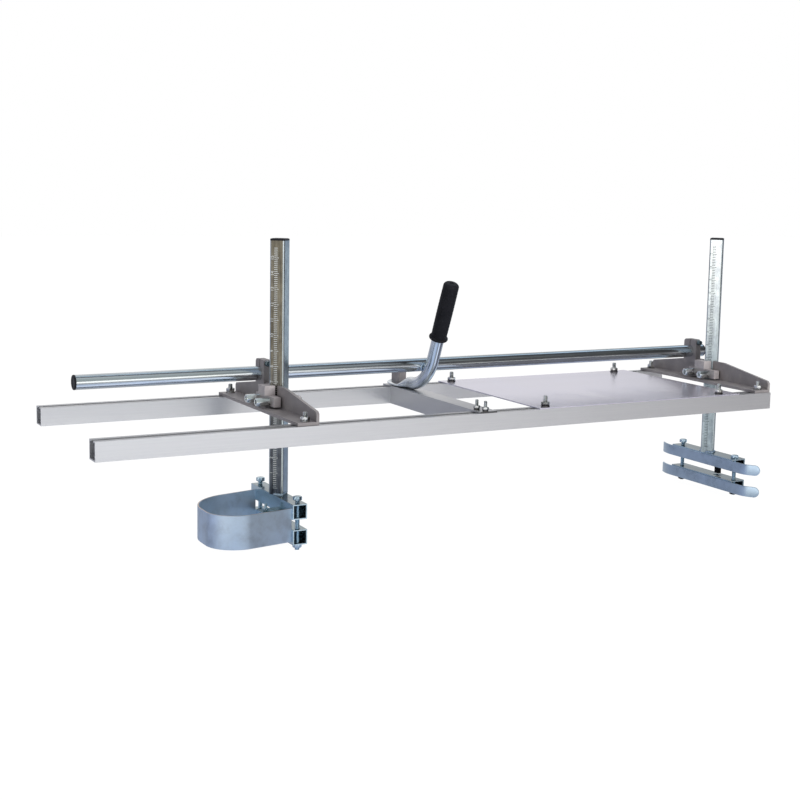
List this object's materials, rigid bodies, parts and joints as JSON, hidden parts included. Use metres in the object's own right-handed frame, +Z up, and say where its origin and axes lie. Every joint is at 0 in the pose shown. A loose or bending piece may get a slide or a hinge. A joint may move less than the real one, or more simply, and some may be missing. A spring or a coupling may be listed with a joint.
{
  "type": "chainsaw mill",
  "caption": "Slotted rail frame with upright clamp posts that hold a chainsaw's guide bar level, with a push tube and a hand grip, for sawing planks from a log.",
  "frame": {"origin": "middle of the bounding box at its base", "axes": "+X along the rails from the open ends to the fixed bracket, +Y from the handle side to the back, +Z up"},
  "size_m": [1.306, 0.3503, 0.5],
  "materials": {
    "zinc": "bright zinc plating, bluish",
    "alloy": "satin anodised",
    "deck": "bright rolled sheet",
    "bracket_metal": "warm grey satin coat",
    "bolt_steel": "plain stainless",
    "black_plastic": "black moulded",
    "grip_rubber": "soft black",
    "black_metal": "dark plated"
  },
  "bodies": {
    "frame": {"front_rail": "alloy", "rear_rail": "alloy", "centre_brace": "alloy", "brace_bolts": "bolt_steel", "deck_plate": "deck", "deck_bolts": "bolt_steel", "foot_block": "bracket_metal", "push_tube": "zinc", "push_tube_caps": "black_plastic", "push_handle": "zinc", "handle_grip": "grip_rubber", "right_bracket": "bracket_metal", "right_bracket_bolts": "bolt_steel", "right_clamp_bar": "bracket_metal", "right_vee_block": "bracket_metal", "right_clamp_studs": "bolt_steel", "right_post_guide": "bracket_metal", "right_tube_clamp": "bracket_metal", "right_tube_bolt": "bolt_steel"},
    "left_carriage": {"left_bracket": "bracket_metal", "left_bracket_bolts": "bolt_steel", "left_clamp_bar": "bracket_metal", "left_vee_block": "bracket_metal", "left_clamp_studs": "bolt_steel", "left_post_guide": "bracket_metal", "left_tube_clamp": "bracket_metal", "left_tube_bolt": "bolt_steel"},
    "left_upright": {"left_post": "zinc", "left_post_cap": "black_plastic", "left_post_weld": "zinc", "left_upper_jaw": "zinc", "nose_band": "zinc", "nose_stop": "zinc", "nose_stop_bolt": "bolt_steel", "left_jaw_bolts": "bolt_steel"},
    "left_jaw": {"left_lower_jaw": "zinc", "left_jaw_nuts": "bolt_steel"},
    "right_upright": {"right_post": "zinc", "right_post_cap": "black_plastic", "right_post_weld": "zinc", "right_upper_jaw": "zinc", "right_upper_skid": "zinc", "right_jaw_stop": "black_metal", "right_jaw_bolts": "bolt_steel"},
    "right_jaw": {"right_lower_jaw": "zinc", "right_lower_skid": "zinc", "right_jaw_nuts": "bolt_steel"}
  },
  "joints": [
    {"name": "left_carriage_slide", "type": "slide", "parent": "frame", "child": "left_carriage", "axis": [1, 0, 0], "range_m": [-0.29, 0.24]},
    {"name": "left_post_slide", "type": "slide", "parent": "left_carriage", "child": "left_upright", "axis": [0, 0, 1], "range_m": [-0.2, 0.11]},
    {"name": "left_jaw_slide", "type": "slide", "parent": "left_upright", "child": "left_jaw", "axis": [0, 0, 1], "range_m": [0, 0.012]},
    {"name": "right_post_slide", "type": "slide", "parent": "frame", "child": "right_upright", "axis": [0, 0, 1], "range_m": [-0.2, 0.11]},
    {"name": "right_jaw_slide", "type": "slide", "parent": "right_upright", "child": "right_jaw", "axis": [0, 0, 1], "range_m": [0, 0.012]}
  ]
}
